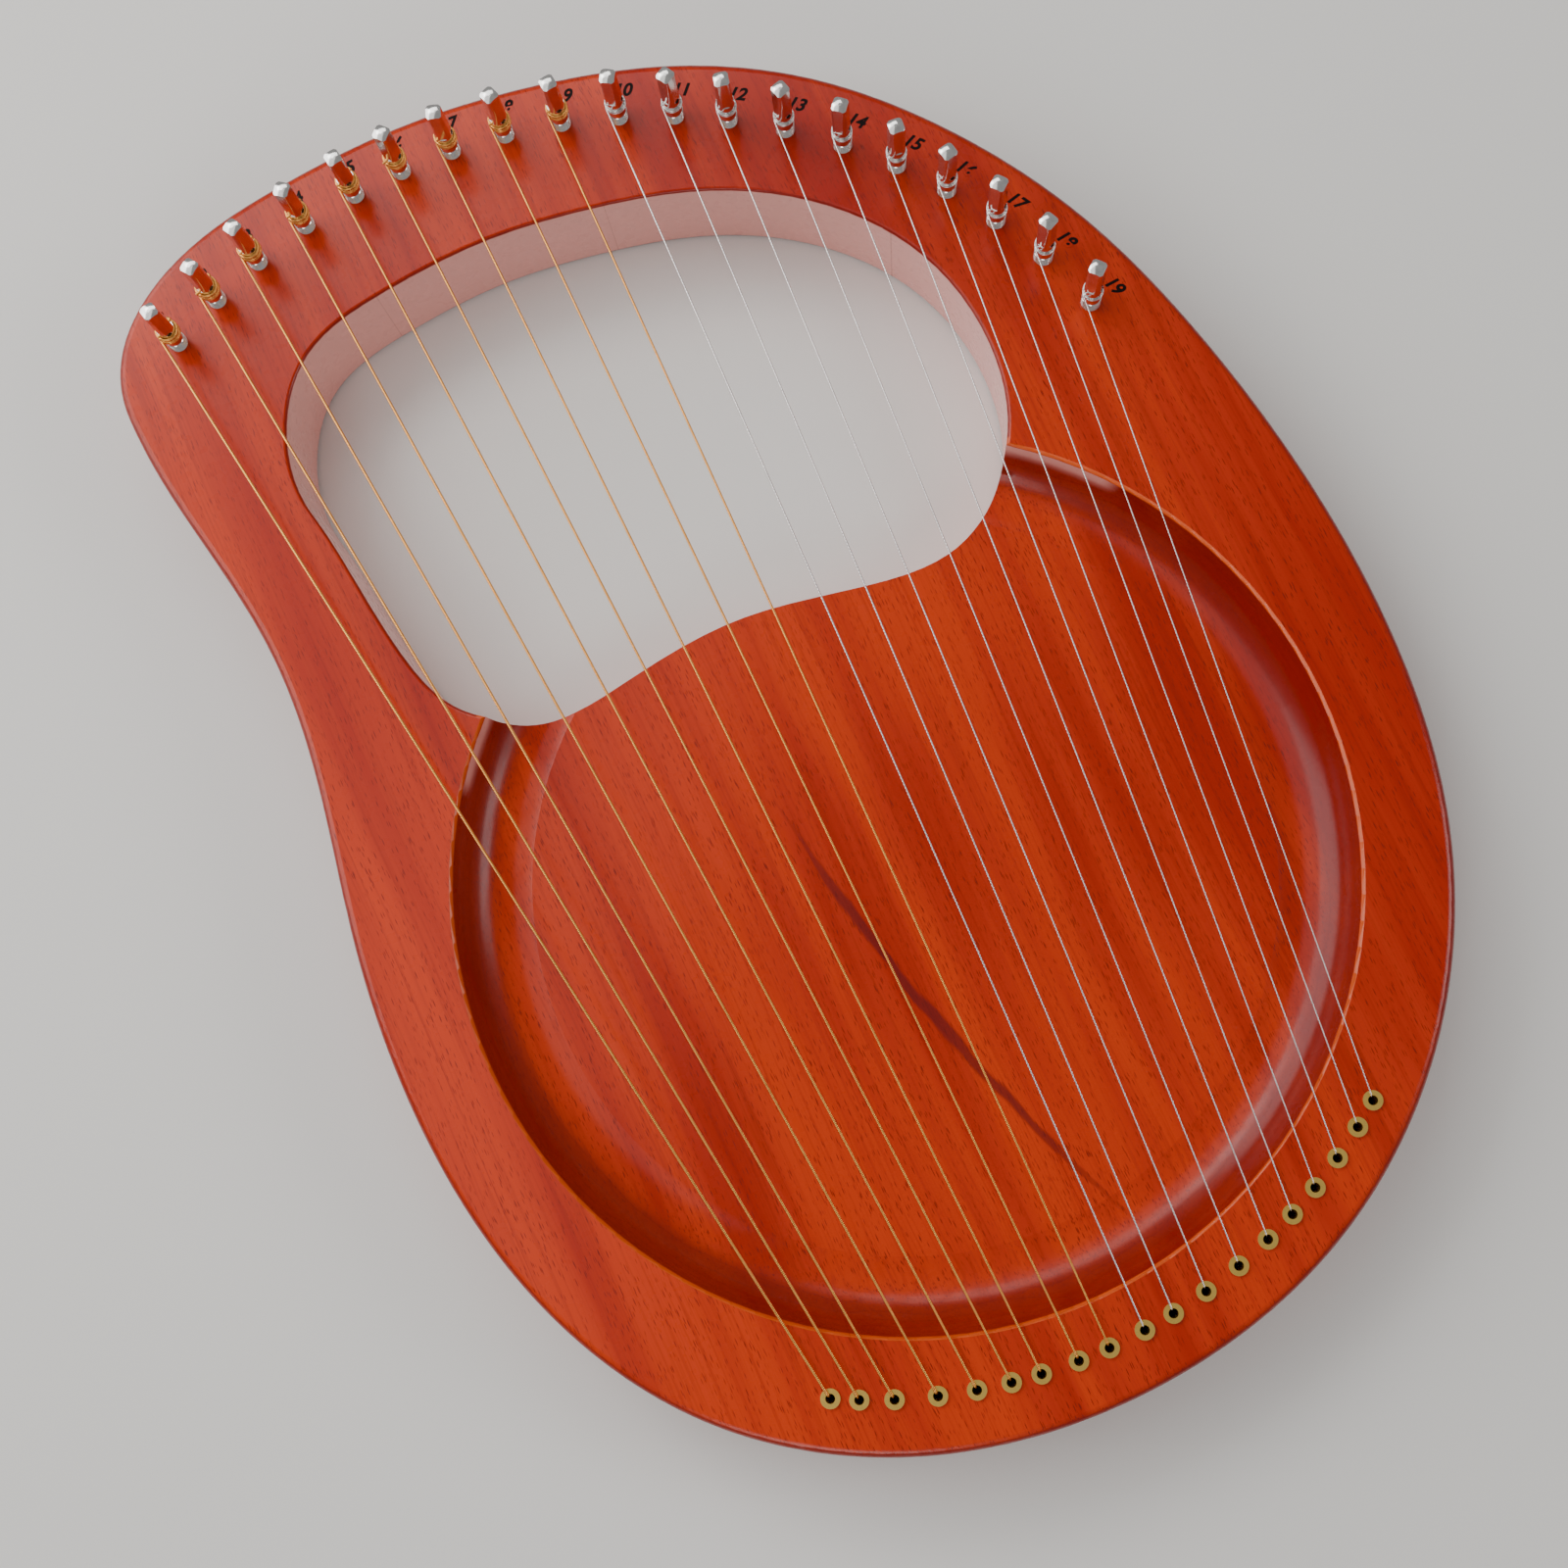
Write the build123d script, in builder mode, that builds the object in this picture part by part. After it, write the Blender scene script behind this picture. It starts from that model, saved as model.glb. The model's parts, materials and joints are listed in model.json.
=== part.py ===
"""A small lap harp (lyre) with a carved round dish, an arched hand hole and nineteen strings.

The harp lies on its back. Z = 0 is the flat back, Z = board_thickness is the front face, and +Y points
along the strings towards the tuning pins. All sizes are in millimetres.
"""

import os
from itertools import accumulate
from math import atan2, cos, radians, sin

from build123d import *

os.makedirs("parts", exist_ok=True)

# --- Wooden body -------------------------------------------------------------------------------------
board_thickness = 30.0
edge_round = 2.2  # front and back corners of the outer edge
hole_edge_round = 1.0  # corners of the hand hole

# The outer edge: straight-backed shoulder at the upper left, round belly below.
outline_points = [
    (-134.4, 146),
    (-128, 166),
    (-108, 181),
    (-72, 188.8),
    (-35, 189.6),
    (0, 184.4),
    (35, 173.4),
    (67, 154),
    (95, 123.4),
    (116, 86),
    (129, 43),
    (136, -2),
    (136.6, -50),
    (127, -98),
    (100, -144),
    (56, -177),
    (0, -189.8),
    (-57, -181),
    (-102, -151.6),
    (-129, -105),
    (-137.4, -52),
    (-134.4, -8),
    (-126.4, 37),
    (-124.6, 72),
    (-131, 114),
]

# The hand hole: an arch above, a wavy lower edge where the dish floor meets it.
hand_hole_points = [
    (-99.8, 100),
    (-98, 122),
    (-84, 141),
    (-58, 148),
    (-29, 149),
    (1, 144.5),
    (29, 136),
    (55, 119.5),
    (73, 95.5),
    (79, 66),
    (70.5, 37),
    (50, 21.5),
    (24, 22.3),
    (-10, 28.7),
    (-43, 26.6),
    (-68, 25.6),
    (-86, 36.5),
    (-93, 54),
    (-96.5, 78),
]

# --- Dish carved into the front ----------------------------------------------------------------------
dish_center = (-1.0, -50.6)
dish_radius = 113.8  # at the rim
dish_floor_radius = 95.5  # at the crease between the cove and the flat floor
dish_depth = 12.5
cove_radius = 14.5  # the hollow round of the cove, which dips just below the floor
dish_rim_round = 0.9

# --- Sound chamber behind the dish, closed by a thin back panel --------------------------------------
chamber_radius = 98.0
chamber_top_y = 8.0  # straight upper wall, below the hand hole
chamber_corner_radius = 12.0
floor_thickness = 4.0
panel_thickness = 3.0
panel_ledge = 5.0  # width of the rebate that the panel sits on
panel_gap = 0.2
sound_hole_radius = 28.0
sound_hole_offset_y = -20.0  # below the centre of the dish
sound_hole_edge_round = 0.8

# --- Tuning pins, on one arc along the upper edge ------------------------------------------------------
pin_arc_center = (-42.2, 22.1)
pin_arc_radius = 154.9
pin_arc_start = 117.6  # degrees from +X, at the longest bass string
pin_gaps = [15.5, 15, 16, 15.5, 14, 14.5, 15, 15.5, 15.5, 15, 14.5, 15.5, 16, 15.5, 15, 15.5, 16, 17.5]
pin_radius = 2.55  # over the threaded part, which goes into the wood
shaft_radius = 2.4  # above the thread
pin_length = 40.0
pin_height = 22.7  # standing above the front face
pin_hole_depth = 18.5
pin_running_gap = 0.03
head_square = 3.9  # across the flats at the top
head_flare = 0.5  # how much wider the square is where the flats end
flats_length = 12.0
head_crown = 0.55  # rise of the domed top, which also rounds its corners
head_dome_reach = 0.6  # share of the radius at which the dome has dropped by head_dome_drop
head_dome_drop = 0.3  # share of the crown
pin_foot_chamfer = 0.6
thread_height = 3.5  # how much of the fine thread shows above the wood
thread_pitch = 0.7
thread_depth = 0.25
pin_eye_radius = 0.65  # cross hole that takes the end of the string
pin_eye_height = 10.6  # above the front face
head_turns = [12, 35, 28, 50, 8, 42, 70, 20, 5, 58, 30, 76, 15, 48, 84, 10, 38, 24, 40]  # degrees

# --- Brass ferrules, on one arc along the lower edge ---------------------------------------------------
ferrule_arc_center = (-3.8, -33.8)
ferrule_arc_radius = 142.5
ferrule_arc_start = 241.6  # degrees from +X
ferrule_gaps = [7, 8.5, 10.5, 9.5, 8.5, 7.5, 9.5, 8, 9.5, 8, 9.5, 10, 9.5, 8.5, 8.5, 9, 9, 7.5]
ferrule_radius = 2.45
ferrule_bore_radius = 1.2
ferrule_lip = 0.7  # flange height above the wood
ferrule_barrel_radius = 1.75
ferrule_barrel_length = 5.0
ferrule_mouth_round = 0.5
ferrule_rim_round = 0.35
ferrule_fit_gap = 0.02
string_passage_radius = 1.3
counterbore_radius = 3.1
counterbore_depth = 6.0

# --- Strings -------------------------------------------------------------------------------------------
bronze_radii = [0.38, 0.37, 0.36, 0.35, 0.34, 0.33, 0.32, 0.31, 0.3]
steel_radii = [0.23, 0.22, 0.21, 0.2, 0.2, 0.19, 0.18, 0.18, 0.17, 0.16]
string_radii = bronze_radii + steel_radii
string_exit_height = 7.0  # above the front face, where a string leaves its pin
string_gap = 0.1  # clear of the ferrule and of the turns on the pin
bronze_turns = 4
steel_turns = 3
turn_pitch = 1.9  # height of one turn, in wire radii
ball_radius = 1.9  # brass ball end, drawn up against the bottom of its counterbore
ball_gap = 0.03

clearance = 1.0  # how far a cutting shape reaches past the face that it opens


def arc_points(center, radius, start, gaps, direction):
    """Points on an arc, spaced by the given gaps along it; direction is 1 anticlockwise, -1 clockwise."""
    angles = [radians(start) + direction * run / radius for run in accumulate([0, *gaps])]
    return [(center[0] + radius * cos(a), center[1] + radius * sin(a)) for a in angles]


pin_places = arc_points(pin_arc_center, pin_arc_radius, pin_arc_start, pin_gaps, -1)
ferrule_places = arc_points(ferrule_arc_center, ferrule_arc_radius, ferrule_arc_start, ferrule_gaps, 1)
pin_foot_z = board_thickness + pin_height - pin_length
pin_top_z = board_thickness + pin_height
thread_top_z = board_thickness + thread_height
chamber_ceiling_z = board_thickness - dish_depth - floor_thickness


def save(piece, name):
    """Label a finished piece and write it under its own name."""
    piece.part.label = name
    export_step(piece.part, f"parts/{name}.step")


def chamber_outline(growth):
    """Sketch the round chamber with its straight upper wall, grown outwards by growth."""
    center_x, center_y = dish_center
    radius = chamber_radius + growth
    rise = chamber_top_y + growth - center_y
    half_width = (radius**2 - rise**2) ** 0.5
    with BuildSketch(mode=Mode.PRIVATE) as outline:
        with BuildLine():
            wall = Line(
                (center_x - half_width, center_y + rise),
                (center_x + half_width, center_y + rise),
            )
            ThreePointArc(wall @ 1, (center_x, center_y - radius), wall @ 0)
        make_face()
        fillet(outline.vertices(), chamber_corner_radius + growth)
    return outline.sketch


# --- Body ----------------------------------------------------------------------------------------------
with BuildPart() as body:
    with BuildSketch() as board:
        with BuildLine():
            Spline(*outline_points, periodic=True)
        make_face()
    extrude(amount=board_thickness)
    fillet(body.edges().filter_by(Plane.XY), edge_round)

    # Hand hole, straight through the board, with softened corners.
    with BuildSketch() as hand_hole:
        with BuildLine():
            Spline(*hand_hole_points, periodic=True)
        make_face()
    extrude(amount=board_thickness, mode=Mode.SUBTRACT)
    inner_loops = [face.inner_wires()[0] for face in body.faces().filter_by(Plane.XY)]
    fillet([edge for loop in inner_loops for edge in loop.edges()], hole_edge_round)

    # Dish: a flat floor, a crease, a cove that rises steeply, and a softened rim.
    floor_z = board_thickness - dish_depth
    rim_x = dish_center[0] + dish_radius
    with BuildSketch(Plane.XZ.offset(-dish_center[1])) as dish:
        with BuildLine():
            floor_line = Line((dish_center[0], floor_z), (dish_center[0] + dish_floor_radius, floor_z))
            cove = RadiusArc(floor_line @ 1, (rim_x, board_thickness), -cove_radius)
            rim = Line(cove @ 1, (rim_x + 2 * dish_rim_round, board_thickness))
            above = board_thickness + clearance
            Polyline(rim @ 1, (rim_x + 2 * dish_rim_round, above), (dish_center[0], above), floor_line @ 0)
        make_face()
        fillet(dish.vertices().sort_by_distance(cove @ 1)[0], dish_rim_round)
    revolve(axis=Axis((*dish_center, 0), (0, 0, 1)), mode=Mode.SUBTRACT)

    # Sound chamber and the rebate for its back panel.
    with BuildSketch() as chamber:
        add(chamber_outline(0))
    extrude(amount=chamber_ceiling_z, mode=Mode.SUBTRACT)
    with BuildSketch() as rebate:
        add(chamber_outline(panel_ledge))
    extrude(amount=panel_thickness, mode=Mode.SUBTRACT)

    # Blind holes for the tuning pins.
    with BuildSketch(Plane.XY.offset(board_thickness)) as pin_holes:
        with Locations(*pin_places):
            Circle(pin_radius + pin_running_gap)
    extrude(amount=-pin_hole_depth, mode=Mode.SUBTRACT)

    # String passages: a seat for the ferrule, a narrow hole, and a counterbore for the ball end.
    with BuildSketch() as passages:
        with Locations(*ferrule_places):
            Circle(string_passage_radius)
    extrude(amount=board_thickness, mode=Mode.SUBTRACT)
    with BuildSketch(Plane.XY.offset(board_thickness)) as ferrule_seats:
        with Locations(*ferrule_places):
            Circle(ferrule_barrel_radius + ferrule_fit_gap)
    extrude(amount=-ferrule_barrel_length, mode=Mode.SUBTRACT)
    with BuildSketch() as counterbores:
        with Locations(*ferrule_places):
            Circle(counterbore_radius)
    extrude(amount=counterbore_depth, mode=Mode.SUBTRACT)
save(body, "body")

# --- Back panel, flush with the back -------------------------------------------------------------------
with BuildPart() as back_panel:
    with BuildSketch() as panel:
        add(chamber_outline(panel_ledge - panel_gap))
        with Locations((dish_center[0], dish_center[1] + sound_hole_offset_y)):
            Circle(sound_hole_radius, mode=Mode.SUBTRACT)
    extrude(amount=panel_thickness)
    sound_hole_wall = back_panel.faces().filter_by(GeomType.CYLINDER).sort_by(SortBy.AREA)
    fillet(sound_hole_wall[-1].edges().filter_by(GeomType.CIRCLE), sound_hole_edge_round)
save(back_panel, "back_panel")

# --- Ferrules: a flanged brass eyelet for each string --------------------------------------------------
ferrule_top_z = board_thickness + ferrule_lip
with BuildPart() as eyelet:
    with BuildSketch(Plane.XZ) as eyelet_profile:
        with BuildLine():
            Polyline(
                (ferrule_bore_radius, board_thickness - ferrule_barrel_length),
                (ferrule_barrel_radius, board_thickness - ferrule_barrel_length),
                (ferrule_barrel_radius, board_thickness),
                (ferrule_radius, board_thickness),
                (ferrule_radius, ferrule_top_z),
                (ferrule_bore_radius, ferrule_top_z),
                close=True,
            )
        make_face()
        top_corners = eyelet_profile.vertices().group_by(Axis.Z)[-1].sort_by(Axis.X)
        fillet(top_corners[0], ferrule_mouth_round)
        fillet(top_corners[1], ferrule_rim_round)
    revolve(axis=Axis.Z)

with BuildPart() as string_ferrules:
    with Locations(*ferrule_places):
        add(eyelet.part)
save(string_ferrules, "string_ferrules")

# --- Tuning pins: round steel, four tapered flats and a domed top for the tuning key -----------------------
groove_count = round(thread_height / thread_pitch)
thread_profile = []
for groove in range(groove_count):
    groove_z = board_thickness + groove * thread_pitch
    thread_profile.append((pin_radius, groove_z))
    thread_profile.append((pin_radius - thread_depth, groove_z + thread_pitch / 2))

with BuildPart() as pin_blank:
    with BuildSketch(Plane.XZ):
        with BuildLine():
            side = Polyline(
                (0, pin_top_z),
                (0, pin_foot_z),
                (pin_radius - pin_foot_chamfer, pin_foot_z),
                (pin_radius, pin_foot_z + pin_foot_chamfer),
                *thread_profile,
                (pin_radius, thread_top_z),
                (shaft_radius, thread_top_z + pin_radius - shaft_radius),
                (shaft_radius, pin_top_z - head_crown),
            )
            dome_middle = (shaft_radius * head_dome_reach, pin_top_z - head_crown * head_dome_drop)
            ThreePointArc(side @ 1, dome_middle, side @ 0)
        make_face()
    revolve(axis=Axis.Z)

with BuildPart() as key_fit:
    with BuildSketch(Plane.XY.offset(pin_top_z - flats_length)):
        Rectangle(head_square + head_flare, head_square + head_flare)
    with BuildSketch(Plane.XY.offset(pin_top_z)):
        Rectangle(head_square, head_square)
    loft()
    with BuildSketch(Plane.XY.offset(pin_foot_z)):
        Circle(pin_radius + clearance)
    extrude(amount=pin_length - flats_length)

with BuildPart() as plain_pin:
    add(pin_blank.part)
    add(key_fit.part, mode=Mode.INTERSECT)
    with BuildSketch(Plane.XZ):
        with Locations((0, board_thickness + pin_eye_height)):
            Circle(pin_eye_radius)
    extrude(amount=pin_radius + clearance, both=True, mode=Mode.SUBTRACT)


heading_rounds = 3  # the heading depends on the start and the start on the heading; this many settle it


def string_start(pin_place, ferrule_place, wire_radius):
    """Where the straight run leaves the left of its pin, and its heading in plan."""
    reach = shaft_radius + wire_radius + string_gap
    heading = atan2(ferrule_place[1] - pin_place[1], ferrule_place[0] - pin_place[0])
    for _ in range(heading_rounds):
        start = (pin_place[0] + reach * sin(heading), pin_place[1] - reach * cos(heading))
        heading = atan2(ferrule_place[1] - start[1], ferrule_place[0] - start[0])
    return start, heading


# --- Pins, their windings and the strings, from the longest string to the shortest -------------------------
exit_z = board_thickness + string_exit_height
for index, wire_radius in enumerate(string_radii):
    number = f"{index + 1:02d}"
    pin_place = pin_places[index]
    ferrule_place = ferrule_places[index]
    turns = bronze_turns if index < len(bronze_radii) else steel_turns

    with BuildPart() as tuning_pin:
        with Locations(Location((*pin_place, 0), (0, 0, head_turns[index]))):
            add(plain_pin.part)
    save(tuning_pin, f"tuning_pin_{number}")

    # The turns on the pin, stacked just above the height where the string leaves it.
    lowest_z = exit_z + 2 * wire_radius + string_gap
    with BuildPart() as string_coil:
        with BuildSketch(Plane((*pin_place, 0), x_dir=(1, 0, 0), z_dir=(0, -1, 0))):
            for turn in range(turns):
                with Locations((shaft_radius + wire_radius, lowest_z + turn * turn_pitch * wire_radius)):
                    Circle(wire_radius)
        revolve(axis=Axis((*pin_place, 0), (0, 0, 1)))
    save(string_coil, f"string_coil_{number}")

    # The string: straight to its ferrule, over the rounded mouth, and down to its ball end.
    start, heading = string_start(pin_place, ferrule_place, wire_radius)
    inset = ferrule_bore_radius - wire_radius - string_gap
    drop = (ferrule_place[0] - inset * cos(heading), ferrule_place[1] - inset * sin(heading))
    ball_center = (*drop, counterbore_depth - ball_radius - ball_gap)
    with BuildPart() as string:
        with BuildLine():
            route = FilletPolyline(
                (*start, exit_z),
                (*drop, ferrule_top_z + string_gap + wire_radius),
                ball_center,
                radius=ferrule_mouth_round + string_gap + wire_radius,
            )
        with BuildSketch(Plane(route @ 0, z_dir=route % 0)):
            Circle(wire_radius)
        sweep()
        with Locations(ball_center):
            Sphere(ball_radius)
    save(string, f"string_{number}")
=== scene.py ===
"""Looks of a small wooden lap harp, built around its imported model. Metres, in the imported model's frame."""

import json
from math import atan2, cos, pi, radians, sin

import bpy
from mathutils import Matrix, Vector


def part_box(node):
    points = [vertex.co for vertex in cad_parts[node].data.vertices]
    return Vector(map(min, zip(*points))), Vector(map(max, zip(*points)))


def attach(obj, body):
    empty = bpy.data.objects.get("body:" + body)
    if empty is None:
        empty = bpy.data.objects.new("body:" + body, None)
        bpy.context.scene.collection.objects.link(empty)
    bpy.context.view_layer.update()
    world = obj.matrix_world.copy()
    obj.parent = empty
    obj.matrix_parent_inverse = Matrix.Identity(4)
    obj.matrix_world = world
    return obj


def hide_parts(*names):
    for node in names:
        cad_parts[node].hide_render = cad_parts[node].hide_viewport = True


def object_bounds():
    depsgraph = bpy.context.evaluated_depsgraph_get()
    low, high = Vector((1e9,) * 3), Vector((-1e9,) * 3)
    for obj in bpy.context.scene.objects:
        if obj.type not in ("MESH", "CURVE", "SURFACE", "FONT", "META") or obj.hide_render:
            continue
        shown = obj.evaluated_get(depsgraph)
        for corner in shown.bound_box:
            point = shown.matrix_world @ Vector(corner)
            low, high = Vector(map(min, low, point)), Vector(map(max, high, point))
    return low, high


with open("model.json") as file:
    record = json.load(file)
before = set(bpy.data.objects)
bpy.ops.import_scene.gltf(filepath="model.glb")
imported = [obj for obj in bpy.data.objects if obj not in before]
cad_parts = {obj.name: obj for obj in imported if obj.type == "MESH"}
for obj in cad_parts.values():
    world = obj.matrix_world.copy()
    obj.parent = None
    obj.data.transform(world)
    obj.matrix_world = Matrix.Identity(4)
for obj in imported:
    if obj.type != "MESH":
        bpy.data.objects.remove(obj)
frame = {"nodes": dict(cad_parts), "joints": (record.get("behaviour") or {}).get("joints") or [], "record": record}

cad_low, cad_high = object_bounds()

MM = 0.001
HARP = "harp"
STRING_COUNT = 19
BRONZE_COUNT = 9
NUMBERS = [f"{index + 1:02d}" for index in range(STRING_COUNT)]

FACE_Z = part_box("body")[1].z

# The dish is concentric with the round part of the back panel, and its rim lies outside the panel's edge.
panel_low, panel_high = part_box("back_panel")
panel_radius = (panel_high.x - panel_low.x) / 2
DISH_MIDDLE = Vector((panel_low.x + panel_radius, panel_low.y + panel_radius, 0.0)) / MM
DISH_RADIUS = panel_radius / MM + 11.0  # millimetres

hand_hole_low, hand_hole_high = frame["record"]["physics"]["openings"][0]["box_m"]
HOLE_MIDDLE = (Vector(hand_hole_low) + Vector(hand_hole_high)) / 2 / MM


# --- Shader graph helper -------------------------------------------------------------------------------
class Graph:
    """Builds one material's nodes with short calls. Values are numbers, tuples or other nodes' sockets."""

    def __init__(self, name):
        self.material = bpy.data.materials.new(name)
        self.material.use_nodes = True
        self.nodes = self.material.node_tree.nodes
        self.links = self.material.node_tree.links
        self.surface = self.nodes["Principled BSDF"]

    def set(self, socket, value):
        if isinstance(value, bpy.types.NodeSocket):
            self.links.new(value, socket)
        else:
            socket.default_value = value

    def math(self, operation, first, second=0.0):
        node = self.nodes.new("ShaderNodeMath")
        node.operation = operation
        for socket, value in zip(node.inputs, (first, second)):
            self.set(socket, value)
        return node.outputs[0]

    def vector(self, operation, first, second):
        node = self.nodes.new("ShaderNodeVectorMath")
        node.operation = operation
        self.set(node.inputs[0], first)
        self.set(node.inputs[1], second)
        return node.outputs[0]

    def length(self, vector):
        node = self.nodes.new("ShaderNodeVectorMath")
        node.operation = "LENGTH"
        self.set(node.inputs[0], vector)
        return node.outputs["Value"]

    def split(self, vector):
        node = self.nodes.new("ShaderNodeSeparateXYZ")
        self.set(node.inputs[0], vector)
        return node.outputs

    def join(self, x, y, z):
        node = self.nodes.new("ShaderNodeCombineXYZ")
        for socket, value in zip(node.inputs, (x, y, z)):
            self.set(socket, value)
        return node.outputs[0]

    def place(self):
        """Position on the object in millimetres."""
        node = self.nodes.new("ShaderNodeTexCoord")
        return self.vector("MULTIPLY", node.outputs["Object"], (1 / MM,) * 3)

    def normal(self):
        """Direction that the surface faces, split into x, y and z."""
        return self.split(self.nodes.new("ShaderNodeNewGeometry").outputs["Normal"])

    def noise(self, vector, size, detail=2.0, roughness=0.5):
        """Noise whose features are about size millimetres, along x, y and z."""
        node = self.nodes.new("ShaderNodeTexNoise")
        self.set(node.inputs["Vector"], self.vector("DIVIDE", vector, size))
        node.inputs["Scale"].default_value = 1.0
        node.inputs["Detail"].default_value = detail
        node.inputs["Roughness"].default_value = roughness
        return node.outputs["Fac"]

    def dashes(self, vector, cell, reach):
        """1 inside small dashes, one in each cell of the given size, and 0 outside."""
        node = self.nodes.new("ShaderNodeTexVoronoi")
        self.set(node.inputs["Vector"], self.vector("DIVIDE", vector, cell))
        node.inputs["Scale"].default_value = 1.0
        return self.ease(node.outputs["Distance"], reach, reach * 0.4)

    def ease(self, value, low, high):
        """0 below low and 1 above high, smooth between; low may be the larger."""
        node = self.nodes.new("ShaderNodeMapRange")
        node.interpolation_type = "SMOOTHSTEP"
        reverse = low > high
        self.set(node.inputs["Value"], value)
        node.inputs["From Min"].default_value = min(low, high)
        node.inputs["From Max"].default_value = max(low, high)
        node.inputs["To Min"].default_value = 1.0 if reverse else 0.0
        node.inputs["To Max"].default_value = 0.0 if reverse else 1.0
        return node.outputs["Result"]

    def mix(self, share, first, second):
        """Colour between first and second."""
        node = self.nodes.new("ShaderNodeMix")
        node.data_type = "RGBA"
        self.set(node.inputs["Factor"], share)
        colors = [socket for socket in node.inputs if socket.type == "RGBA"]
        self.set(colors[0], first)
        self.set(colors[1], second)
        return [socket for socket in node.outputs if socket.type == "RGBA"][0]

    def bump(self, height, distance, strength=1.0, below=None):
        node = self.nodes.new("ShaderNodeBump")
        node.inputs["Strength"].default_value = strength
        node.inputs["Distance"].default_value = distance
        self.set(node.inputs["Height"], height)
        if below is not None:
            self.set(node.inputs["Normal"], below)
        return node.outputs[0]

    def finish(self, **values):
        for name, value in values.items():
            self.set(self.surface.inputs[name.replace("_", " ")], value)
        return self.material


def color(red, green, blue):
    """A colour given as it looks on a screen, 0 to 255, in the linear values that shaders take."""
    shares = [level / 255 for level in (red, green, blue)]
    linear = [share / 12.92 if share <= 0.04045 else ((share + 0.055) / 1.055) ** 2.4 for share in shares]
    return (*linear, 1.0)


# --- Materials -----------------------------------------------------------------------------------------
STAIN_ORANGE = color(202, 55, 9)
STAIN_RED = color(162, 26, 6)
# Dark stain, also used as painted shade on slopes.
STAIN_AND_SHADE_DARK = color(118, 12, 4)
FLECK = color(112, 20, 8)
MINERAL = color(92, 14, 18)
# Lighter orange of the rim: a painted highlight, mixed with stain worn thin.
RIM_WEAR_AND_HIGHLIGHT = color(226, 92, 26)
# Painted sheen colour of the hand hole's wall.
WALL_PAINTED_SHEEN = color(232, 166, 156)

# Sizes of the wood's features, in millimetres along x, y and z. The grain runs along y.
SWAY_SIZE = (70, 160, 70)
STREAK_SIZE = (13, 300, 13)
CLOUD_SIZE = (110, 110, 110)
LAYER_SIZE = (34, 150, 34)
FINE_LINE_SIZE = (0.7, 60, 0.7)
PATCH_SIZE = (14, 40, 14)
SPECK_SIZE = (3.5, 3.5, 3.5)
WAVE_SIZE = (7, 11, 7)
FLECK_CELL = (0.62, 5.5, 0.62)
FLECK_REACH = 0.26  # half a fleck, as a share of its cell
SMALL_FLECK_CELL = (0.5, 4.5, 0.5)
SMALL_FLECK_REACH = 0.24
SMALL_FLECK_SHIFT = (31.7, 12.3, 7.1)
SWAY = 9.0  # how far the grain wanders to the side
LAYER_SWELL = 5.0  # how many layers a bulge in the wood passes through
LAYERS_PER_MM = 0.5
BOARD_WIDTH = 65.0
BOARD_EDGE_X = 69.0  # one of the glue lines
FACE_HEIGHT = FACE_Z / MM
FLOOR_HEIGHT = 17.8  # just above the floor of the dish
WALL_START_Y = 14.0  # the hand hole's wall lies above this

# How strongly each feature shows.
CLOUD_SHARE = 0.6
BOARD_SHARE = 0.14
LAYER_SHARE = 0.35
FINE_LINE_SHARE = 0.3
FLECK_SHARE = 0.62
FLECK_PATCH_SHARE = 0.35
END_GRAIN_AND_SHADE_SHARE = 0.7
GLUE_LINE_SHARE = 0.35
RIM_WEAR_AND_HIGHLIGHT_SHARE = 0.75
WALL_SHEEN_SHARE = 0.97
STREAK_SHARE = 0.72

# Sizes of the features of metal, wire and ink, in millimetres.
WEAR_SIZE = (1.3, 1.3, 2.6)
SCRATCH_SIZE = (2.2, 2.2, 0.12)
TARNISH_SIZE = (2.0, 9.0, 2.0)
INK_PATCH_SIZE = (0.6, 0.6, 0.6)


def boards_across(g, x):
    """Position across the boards, counted in boards."""
    return g.math("DIVIDE", g.math("SUBTRACT", x, BOARD_EDGE_X), BOARD_WIDTH)


def stain_tone(g, place, grain, x):
    """0 where the stain is orange to 1 where it is red: streaks, clouds and boards that took it unevenly."""
    streaks = g.noise(grain, STREAK_SIZE, detail=3.0, roughness=0.6)
    clouds = g.math("MULTIPLY", g.noise(place, CLOUD_SIZE, detail=1.0), CLOUD_SHARE)
    board = g.nodes.new("ShaderNodeTexWhiteNoise")
    board.noise_dimensions = "1D"
    g.set(board.inputs["W"], g.math("FLOOR", boards_across(g, x)))
    uneven = g.math("MULTIPLY", board.outputs["Value"], BOARD_SHARE)
    tone = g.math("ADD", g.math("ADD", streaks, clouds), uneven)
    return g.ease(tone, 0.62, 1.1)


def growth_layers(g, grain, z, steep):
    """Nested dark curves where a slope cuts through the layers of growth."""
    swell = g.math("MULTIPLY", g.noise(grain, LAYER_SIZE), LAYER_SWELL)
    layers = g.math("PINGPONG", g.math("ADD", g.math("MULTIPLY", z, LAYERS_PER_MM), swell), 0.5)
    return g.math("MULTIPLY", g.math("MULTIPLY", g.ease(layers, 0.1, 0.01), steep), LAYER_SHARE)


def wood_flecks(g, place, grain):
    """Short dark flecks along the grain, denser in some patches."""
    large = g.dashes(grain, FLECK_CELL, FLECK_REACH)
    small = g.dashes(g.vector("ADD", grain, SMALL_FLECK_SHIFT), SMALL_FLECK_CELL, SMALL_FLECK_REACH)
    patchy = g.math("MULTIPLY", g.ease(g.noise(place, PATCH_SIZE), 0.3, 0.62), FLECK_PATCH_SHARE)
    return g.math("MULTIPLY", g.math("MAXIMUM", large, small), g.math("ADD", patchy, FLECK_SHARE))


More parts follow.
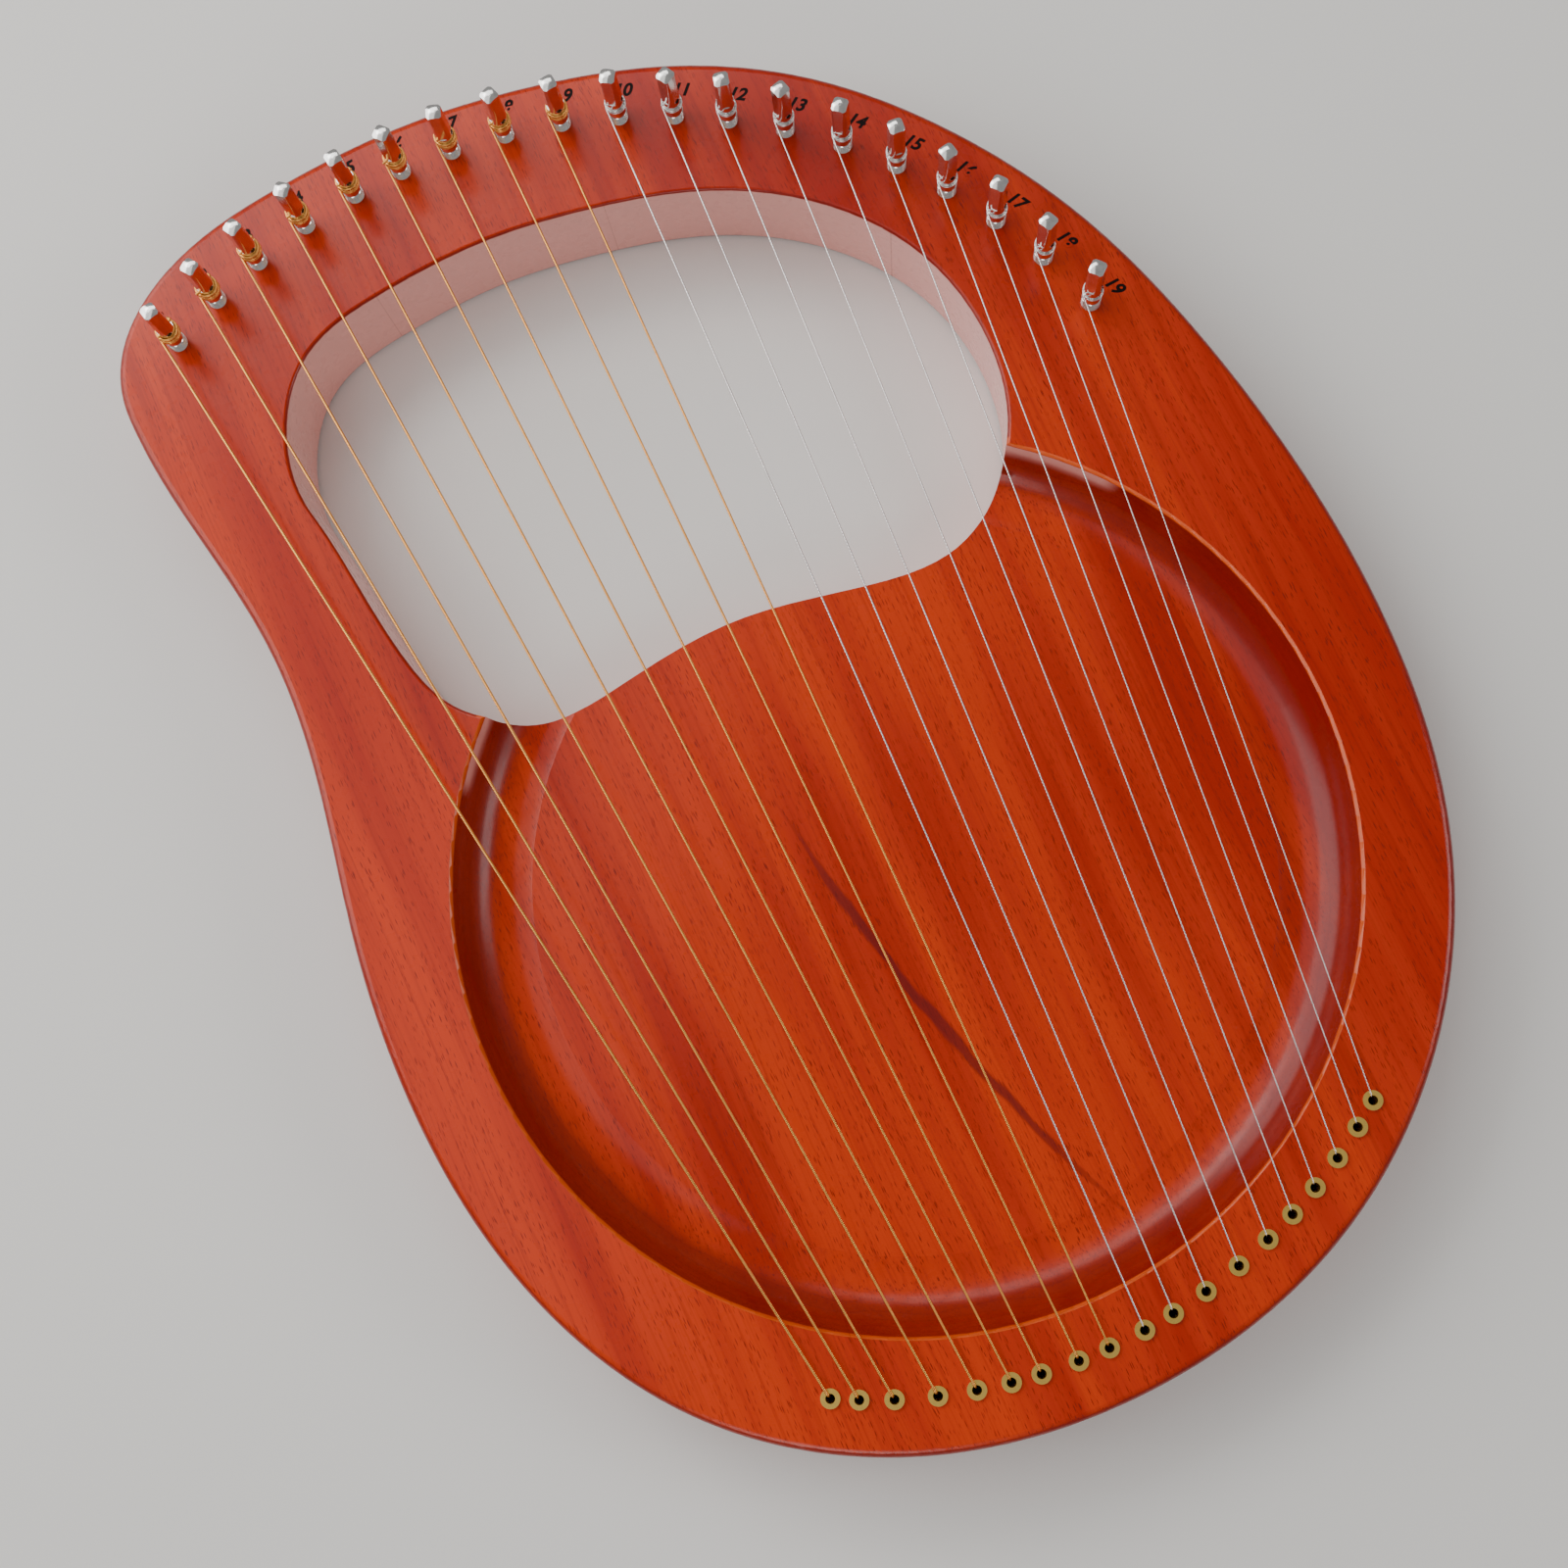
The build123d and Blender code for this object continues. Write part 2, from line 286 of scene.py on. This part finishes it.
def glue_line(g, x):
    """The thin line where two boards meet."""
    seam = g.math("ABSOLUTE", g.math("SUBTRACT", g.math("FRACT", boards_across(g, x)), 0.5))
    return g.math("MULTIPLY", g.ease(seam, 0.4975, 0.4995), GLUE_LINE_SHARE)


def mineral_streak(g, x, y, z):
    """A dark mineral streak that runs down the dish floor, bending to the treble side."""
    start_x, start_y, length, drift, bend = -19.5, -17.0, 122.0, 12.0, 19.0
    run = g.math("DIVIDE", g.math("SUBTRACT", start_y, y), length)
    bent = g.math("MULTIPLY", g.math("MULTIPLY", run, run), bend)
    middle = g.math("ADD", g.math("ADD", g.math("MULTIPLY", run, drift), bent), start_x)
    wobble = g.math("MULTIPLY", g.noise(g.join(x, y, 0.0), (9, 30, 9)), 5.0)
    away = g.math("ABSOLUTE", g.math("SUBTRACT", g.math("ADD", x, wobble), middle))
    along = g.math("MULTIPLY", g.ease(run, -0.08, 0.3), g.ease(run, 1.25, 0.8))
    width = g.math("ADD", g.math("MULTIPLY", along, 1.7), 0.15)
    streak = g.math("MULTIPLY", g.ease(g.math("DIVIDE", away, width), 1.0, 0.35), along)
    on_floor = g.ease(z, FLOOR_HEIGHT + 0.7, FLOOR_HEIGHT)
    return g.math("MULTIPLY", g.math("MULTIPLY", streak, on_floor), STREAK_SHARE)


def rim_wear_and_highlight(g, x, y, z, up):
    """A lighter line along the dish's rounded rim: partly stain worn thin, partly a painted highlight where the
    round-over catches the light.
    """
    reach = g.length(g.vector("SUBTRACT", g.join(x, y, 0.0), tuple(DISH_MIDDLE)))
    rounded = g.math("MULTIPLY", g.ease(up, 0.985, 0.93), g.ease(z, FACE_HEIGHT - 0.9, FACE_HEIGHT - 0.5))
    near = g.ease(reach, DISH_RADIUS + 2.5, DISH_RADIUS + 1.5)
    return g.math("MULTIPLY", g.math("MULTIPLY", rounded, near), RIM_WEAR_AND_HIGHLIGHT_SHARE)


def hole_wall_sheen(g, x, y, up):
    """A painted pale pink sheen on the hand hole's wall, standing in for the reflection of the pale floor at a
    grazing angle; it also hides the grain there.
    """
    steep = g.ease(g.math("ABSOLUTE", up), 0.5, 0.2)
    facing_x, facing_y = g.normal()[:2]
    across = g.math("MULTIPLY", facing_x, g.math("SUBTRACT", x, HOLE_MIDDLE.x))
    along = g.math("MULTIPLY", facing_y, g.math("SUBTRACT", y, HOLE_MIDDLE.y))
    inward = g.ease(g.math("ADD", across, along), 0.0, -5.0)
    beside = g.math("MULTIPLY", inward, g.ease(y, WALL_START_Y, WALL_START_Y + 5.0))
    return g.math("MULTIPLY", g.math("MULTIPLY", steep, beside), WALL_SHEEN_SHARE)


def wood(name, gloss_roughness, front):
    """Stained, lacquered beech, its grain along Y: boards, growth layers, streaks and short dark flecks, with
    painted shade on slopes and, on the front, a painted highlight on the dish's rim and a painted sheen on the
    hand hole's wall.
    """
    g = Graph(name)
    place = g.place()
    x, y, z = g.split(place)[:3]
    up = g.normal()[2]
    steep = g.ease(g.math("ABSOLUTE", up), 0.992, 0.8)
    sway = g.math("MULTIPLY", g.math("SUBTRACT", g.noise(place, SWAY_SIZE), 0.5), SWAY)
    grain = g.join(g.math("ADD", x, sway), y, z)

    paint = g.mix(stain_tone(g, place, grain, x), STAIN_ORANGE, STAIN_RED)
    paint = g.mix(growth_layers(g, grain, z, steep), paint, STAIN_AND_SHADE_DARK)
    fine = g.noise(grain, FINE_LINE_SIZE, detail=3.0)
    paint = g.mix(g.math("MULTIPLY", g.ease(fine, 0.45, 0.72), FINE_LINE_SHARE), paint, STAIN_AND_SHADE_DARK)
    fleck = wood_flecks(g, place, grain)
    paint = g.mix(fleck, paint, FLECK)
    # Slopes turn darker: partly end grain, which drinks the stain, partly painted shade in the dish's cove and on
    # the other slopes.
    paint = g.mix(g.math("MULTIPLY", steep, END_GRAIN_AND_SHADE_SHARE), paint, STAIN_AND_SHADE_DARK)

    pores = g.math("ADD", g.math("MULTIPLY", fine, 0.35), g.math("MULTIPLY", fleck, -0.6))
    waves = g.noise(place, WAVE_SIZE, detail=1.0)
    if front:
        paint = g.mix(mineral_streak(g, x, y, z), paint, MINERAL)
        # Painted highlight on the dish's rounded rim, mixed with stain worn thin there.
        paint = g.mix(rim_wear_and_highlight(g, x, y, z, up), paint, RIM_WEAR_AND_HIGHLIGHT)
        # Painted sheen on the hand hole's wall; the grain's pores and waves are left out where it lies.
        wall = hole_wall_sheen(g, x, y, up)
        paint = g.mix(wall, paint, WALL_PAINTED_SHEEN)
        outside_sheen = g.math("SUBTRACT", 1.0, wall)
        pores = g.math("MULTIPLY", pores, outside_sheen)
        waves = g.math("MULTIPLY", waves, outside_sheen)
    paint = g.mix(glue_line(g, x), paint, STAIN_AND_SHADE_DARK)

    specks = g.noise(place, SPECK_SIZE, detail=3.0)
    normal = g.bump(pores, 0.02 * MM, 0.6)
    return g.finish(
        Base_Color=paint,
        Roughness=g.math("ADD", g.math("MULTIPLY", specks, 0.1), gloss_roughness - 0.05),
        Normal=g.bump(waves, 0.1 * MM, 0.35, below=normal),
        Specular_IOR_Level=0.1,
        Coat_Weight=0.6,
        Coat_Roughness=0.2,
        Coat_IOR=1.45,
    )


def shade(tint, share):
    """The colour made darker, down to the given share of its light."""
    return (*(share * value for value in tint[:3]), 1.0)


def metal(name, tint, roughness, scratch, coat=0.0):
    """Polished metal with faint scratches and a little dulling."""
    g = Graph(name)
    place = g.place()
    wear = g.noise(place, WEAR_SIZE, detail=4.0, roughness=0.6)
    tone = g.mix(g.ease(wear, 0.35, 0.75), tint, shade(tint, 0.82))
    rough = g.math("ADD", g.math("MULTIPLY", wear, scratch), roughness)
    lines = g.noise(place, SCRATCH_SIZE)
    return g.finish(
        Base_Color=tone,
        Metallic=1.0,
        Roughness=rough,
        Normal=g.bump(lines, 0.01 * MM, 0.35),
        Coat_Weight=coat,
    )


def wire(name, tint, lay):
    """String wire. lay is the spacing in millimetres of the fine winding, or of the drawing marks."""
    g = Graph(name)
    place = g.place()
    x, y = g.split(place)[:2]
    slant = g.math("ADD", y, g.math("MULTIPLY", x, 0.6))
    twist = g.math("SINE", g.math("MULTIPLY", slant, 2 * pi / lay))
    tarnish = g.noise(place, TARNISH_SIZE, detail=3.0)
    # Painted shade in the grooves of the winding or the drawing marks.
    groove_shade = g.ease(twist, -0.2, -0.9)
    dull = g.math("MULTIPLY", g.ease(tarnish, 0.5, 0.8), 0.35)
    share = g.math("ADD", g.math("MULTIPLY", groove_shade, 0.45), dull)
    return g.finish(
        Base_Color=g.mix(share, tint, shade(tint, 0.5)),
        Metallic=1.0,
        Roughness=g.math("ADD", g.math("MULTIPLY", tarnish, 0.15), 0.2),
        Normal=g.bump(twist, 0.03 * MM, 0.5),
    )


def ink():
    """Black printed numbers under the lacquer."""
    g = Graph("number_ink")
    patch = g.noise(g.place(), INK_PATCH_SIZE, detail=3.0)
    tone = g.mix(g.ease(patch, 0.3, 0.7), color(10, 6, 5), color(26, 10, 8))
    rough = g.math("ADD", g.math("MULTIPLY", patch, 0.1), 0.4)
    return g.finish(Base_Color=tone, Roughness=rough, Specular_IOR_Level=0.1)


FRONT_WOOD = wood("stained_wood", 0.28, front=True)
BACK_WOOD = wood("stained_wood_back", 0.36, front=False)
NICKEL = metal("nickel_plate", (0.86, 0.84, 0.81, 1.0), 0.08, 0.12, coat=0.2)
BRASS = metal("brass", (1.0, 0.66, 0.16, 1.0), 0.28, 0.14)
BRONZE_WIRE = wire("bronze_wire", (0.93, 0.43, 0.11, 1.0), 0.42)
STEEL_WIRE = wire("steel_wire", (0.86, 0.82, 0.8, 1.0), 0.9)
INK = ink()


def dress(node, material):
    """Give a CAD node its material."""
    mesh = frame["nodes"][node].data
    mesh.materials.clear()
    mesh.materials.append(material)


def wire_of(index):
    """Material of this string."""
    return BRONZE_WIRE if index < BRONZE_COUNT else STEEL_WIRE


dress("body", FRONT_WOOD)
dress("back_panel", BACK_WOOD)
dress("string_ferrules", BRASS)
for index, number in enumerate(NUMBERS):
    dress(f"tuning_pin_{number}", NICKEL)
    dress(f"string_coil_{number}", wire_of(index))
    dress(f"string_{number}", wire_of(index))


# --- Windings: the end of each string, wound on its pin and tucked through the pin's eye -----------------
EYE_Z = FACE_Z + 10.6 * MM  # height of the eye through each pin
EYE_TURN = radians(150)  # from the top of the winding round to the eye
TURN_SPACING = 2.05  # wire radii from one low turn to the next
RING_SPACING = 1.9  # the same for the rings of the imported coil
BRONZE_RINGS = 4
STEEL_RINGS = 3
TURN_STEPS = 40
CLIMB_START = 0.86  # share of a turn that stays level before the step to the next
EYE_STEPS = 20
TAIL_LENGTHS = [0.5, 1.1, 0.4, 0.8, 0.6, 1.3, 0.5, 0.9, 0.7]  # millimetres, used in turn


def pin_axis(index):
    """Where the pin's axis meets the plane of the back."""
    place = frame["joints"][index]["pos_m"]
    return Vector((place[0], place[1], 0.0))


def string_tip(number):
    """Middle of the string's cut end, beside its pin."""
    points = [vertex.co for vertex in frame["nodes"][f"string_{number}"].data.vertices]
    last = max(point.y for point in points)
    near = [point for point in points if point.y > last - 0.2 * MM]
    return sum(near, Vector()) / len(near)


def smooth(share):
    """A share from 0 to 1, with a gentle start and end."""
    return share * share * (3 - 2 * share)


def rings_of(index):
    """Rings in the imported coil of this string."""
    return BRONZE_RINGS if index < BRONZE_COUNT else STEEL_RINGS


def winding_path(index, number, radius, shaft_radius):
    """Points along the wire: level turns with a short step between them, then up and into the eye."""
    center = pin_axis(index)
    tip = string_tip(number)
    around = shaft_radius + radius
    begin = atan2(tip.y - center.y, tip.x - center.x)
    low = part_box(f"string_{number}")[1].z - radius
    levels = [low + TURN_SPACING * radius * turn for turn in range(rings_of(index) - 2)]
    levels += [low + RING_SPACING * radius * (rings_of(index) - 1)] * 2
    turns = len(levels) - 1
    points = []

    def add(angle, height):
        points.append(center + Vector((around * cos(angle), around * sin(angle), height)))

    for step in range(turns * TURN_STEPS + 1):
        turn, done = divmod(step, TURN_STEPS)
        rise = smooth(max(0.0, (done / TURN_STEPS - CLIMB_START) / (1 - CLIMB_START)))
        following = levels[min(turn + 1, turns)]
        add(begin - 2 * pi * step / TURN_STEPS, levels[turn] + (following - levels[turn]) * rise)
    for step in range(1, EYE_STEPS + 1):
        share = step / EYE_STEPS
        add(begin - EYE_TURN * share, levels[-1] + (EYE_Z - levels[-1]) * smooth(share))

    # Through the eye, and a short tail out of its far side.
    eye = begin - EYE_TURN
    across = Vector((cos(eye), sin(eye), 0.0))
    side = Vector((-across.y, across.x, 0.0))
    middle = center + Vector((0.0, 0.0, EYE_Z))
    tail = TAIL_LENGTHS[index % len(TAIL_LENGTHS)] * MM
    points.append(middle + across * (shaft_radius * 0.7) - side * 0.5 * MM)
    points.append(middle - across * shaft_radius)
    points.append(middle - across * (shaft_radius + tail) + side * 0.4 * MM)
    return points


def tube(name, points, radius, material):
    """A round wire along the points, with closed ends."""
    curve = bpy.data.curves.new(name, "CURVE")
    curve.dimensions = "3D"
    curve.bevel_depth = radius
    curve.bevel_resolution = 3
    curve.use_fill_caps = True
    spline = curve.splines.new("POLY")
    spline.points.add(len(points) - 1)
    for target, point in zip(spline.points, points):
        target.co = (*point, 1.0)
    curve.materials.append(material)
    piece = bpy.data.objects.new(name, curve)
    bpy.context.scene.collection.objects.link(piece)
    return piece


for index, number in enumerate(NUMBERS):
    coil_low, coil_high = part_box(f"string_coil_{number}")
    radius = (coil_high.z - coil_low.z) / (2 + RING_SPACING * (rings_of(index) - 1))
    shaft_radius = (coil_high.x - coil_low.x) / 2 - 2 * radius
    path = winding_path(index, number, radius, shaft_radius)
    winding = tube(f"winding_{number}", path, radius, wire_of(index))
    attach(winding, f"pin_{number}")
    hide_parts(f"string_coil_{number}")


# --- Numbers beside the pins -----------------------------------------------------------------------------
NUMBER_REACH = 7.4 * MM  # from a pin's axis, outwards
NUMBER_SHIFT = 3.4 * MM  # from the axis to the last digit's edge, towards the treble side
NUMBER_SIZE = 4.9 * MM
NUMBER_THICKNESS = 0.02 * MM
NUMBER_SLANT = 0.28
NUMBER_BOLDNESS = 0.16 * MM


def directions(index):
    """Away from the row of pins towards the outer edge, and along the row towards the treble side."""
    before = pin_axis(max(index - 1, 0))
    after = pin_axis(min(index + 1, STRING_COUNT - 1))
    along = (after - before).normalized()
    return Vector((-along.y, along.x, 0.0)), along


for index, number in enumerate(NUMBERS):
    out, along = directions(index)
    text = bpy.data.curves.new(f"number_{number}", "FONT")
    text.body = str(index + 1)
    text.size = NUMBER_SIZE
    text.shear = NUMBER_SLANT
    text.align_x = "RIGHT"
    text.align_y = "CENTER"
    text.extrude = NUMBER_THICKNESS
    text.offset = NUMBER_BOLDNESS
    text.materials.append(INK)
    label = bpy.data.objects.new(f"number_{number}", text)
    bpy.context.scene.collection.objects.link(label)
    spot = pin_axis(index) + out * NUMBER_REACH + along * NUMBER_SHIFT
    label.location = (spot.x, spot.y, FACE_Z + NUMBER_THICKNESS)
    label.rotation_euler = (0.0, 0.0, atan2(along.y, along.x))
    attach(label, HARP)


# --- Floor, light and camera -----------------------------------------------------------------------------
FLOOR_WIDTH = 8.0
FLOOR_GAP = 0.2 * MM
FLOOR_CLOUD_SIZE = (400, 400, 400)
LIGHT_AIM = Vector((0.0, 0.0, 0.03))
CAMERA_PLACE = Vector((-0.0241, -0.1066, 0.5558))
CAMERA_AIM = Vector((-0.0183, -0.0181, 0.03))
CAMERA_ROLL = radians(21.48)  # the view turned clockwise about its own axis
CAMERA_LENS = 48.4
CAMERA_SENSOR = 36.0
CAMERA_NEAR = 0.01


def stage_floor():
    """A plain pale floor just under the harp."""
    g = Graph("pale_floor")
    cloud = g.noise(g.place(), FLOOR_CLOUD_SIZE)
    g.finish(Base_Color=g.mix(cloud, color(226, 223, 218), color(232, 230, 226)), Roughness=0.75)
    bpy.ops.mesh.primitive_plane_add(size=FLOOR_WIDTH, location=(0.0, 0.0, cad_low[2] - FLOOR_GAP))
    floor = bpy.context.object
    floor.name = "floor"
    floor.data.materials.append(g.material)


def softbox(name, place, size, power):
    """A rectangular soft light that faces the harp."""
    light = bpy.data.lights.new(name, "AREA")
    light.shape = "RECTANGLE"
    light.size, light.size_y = size
    light.energy = power
    lamp = bpy.data.objects.new(name, light)
    lamp.location = place
    lamp.rotation_euler = (LIGHT_AIM - Vector(place)).to_track_quat("-Z", "Y").to_euler()
    bpy.context.scene.collection.objects.link(lamp)


def surroundings(strength):
    """An even white light from all around."""
    world = bpy.data.worlds.new("studio")
    world.use_nodes = True
    background = world.node_tree.nodes["Background"]
    background.inputs["Color"].default_value = (1.0, 1.0, 1.0, 1.0)
    background.inputs["Strength"].default_value = strength
    bpy.context.scene.world = world


def stage_camera():
    """The photo's view, from above and a little in front."""
    data = bpy.data.cameras.new("camera")
    data.lens = CAMERA_LENS
    data.sensor_width = CAMERA_SENSOR
    data.clip_start = CAMERA_NEAR
    camera = bpy.data.objects.new("camera", data)
    look = (CAMERA_AIM - CAMERA_PLACE).to_track_quat("-Z", "Y").to_matrix()
    turn = Matrix.Rotation(-CAMERA_ROLL, 3, "Z")
    camera.matrix_world = Matrix.Translation(CAMERA_PLACE) @ (look @ turn).to_4x4()
    bpy.context.scene.collection.objects.link(camera)
    bpy.context.scene.camera = camera


stage_floor()
softbox("key", (-0.86, 0.8, 0.75), (1.4, 1.1), 16.0)
softbox("overhead", (-0.45, 0.3, 1.25), (1.4, 0.7), 2.6)
softbox("rear", (0.0, 0.98, 1.1), (1.1, 0.5), 4.5)
softbox("front_left", (-0.58, -0.95, 0.75), (0.5, 0.45), 2.8)
softbox("front_right", (1.0, -0.46, 0.75), (0.5, 0.45), 3.2)
surroundings(0.3)
stage_camera()
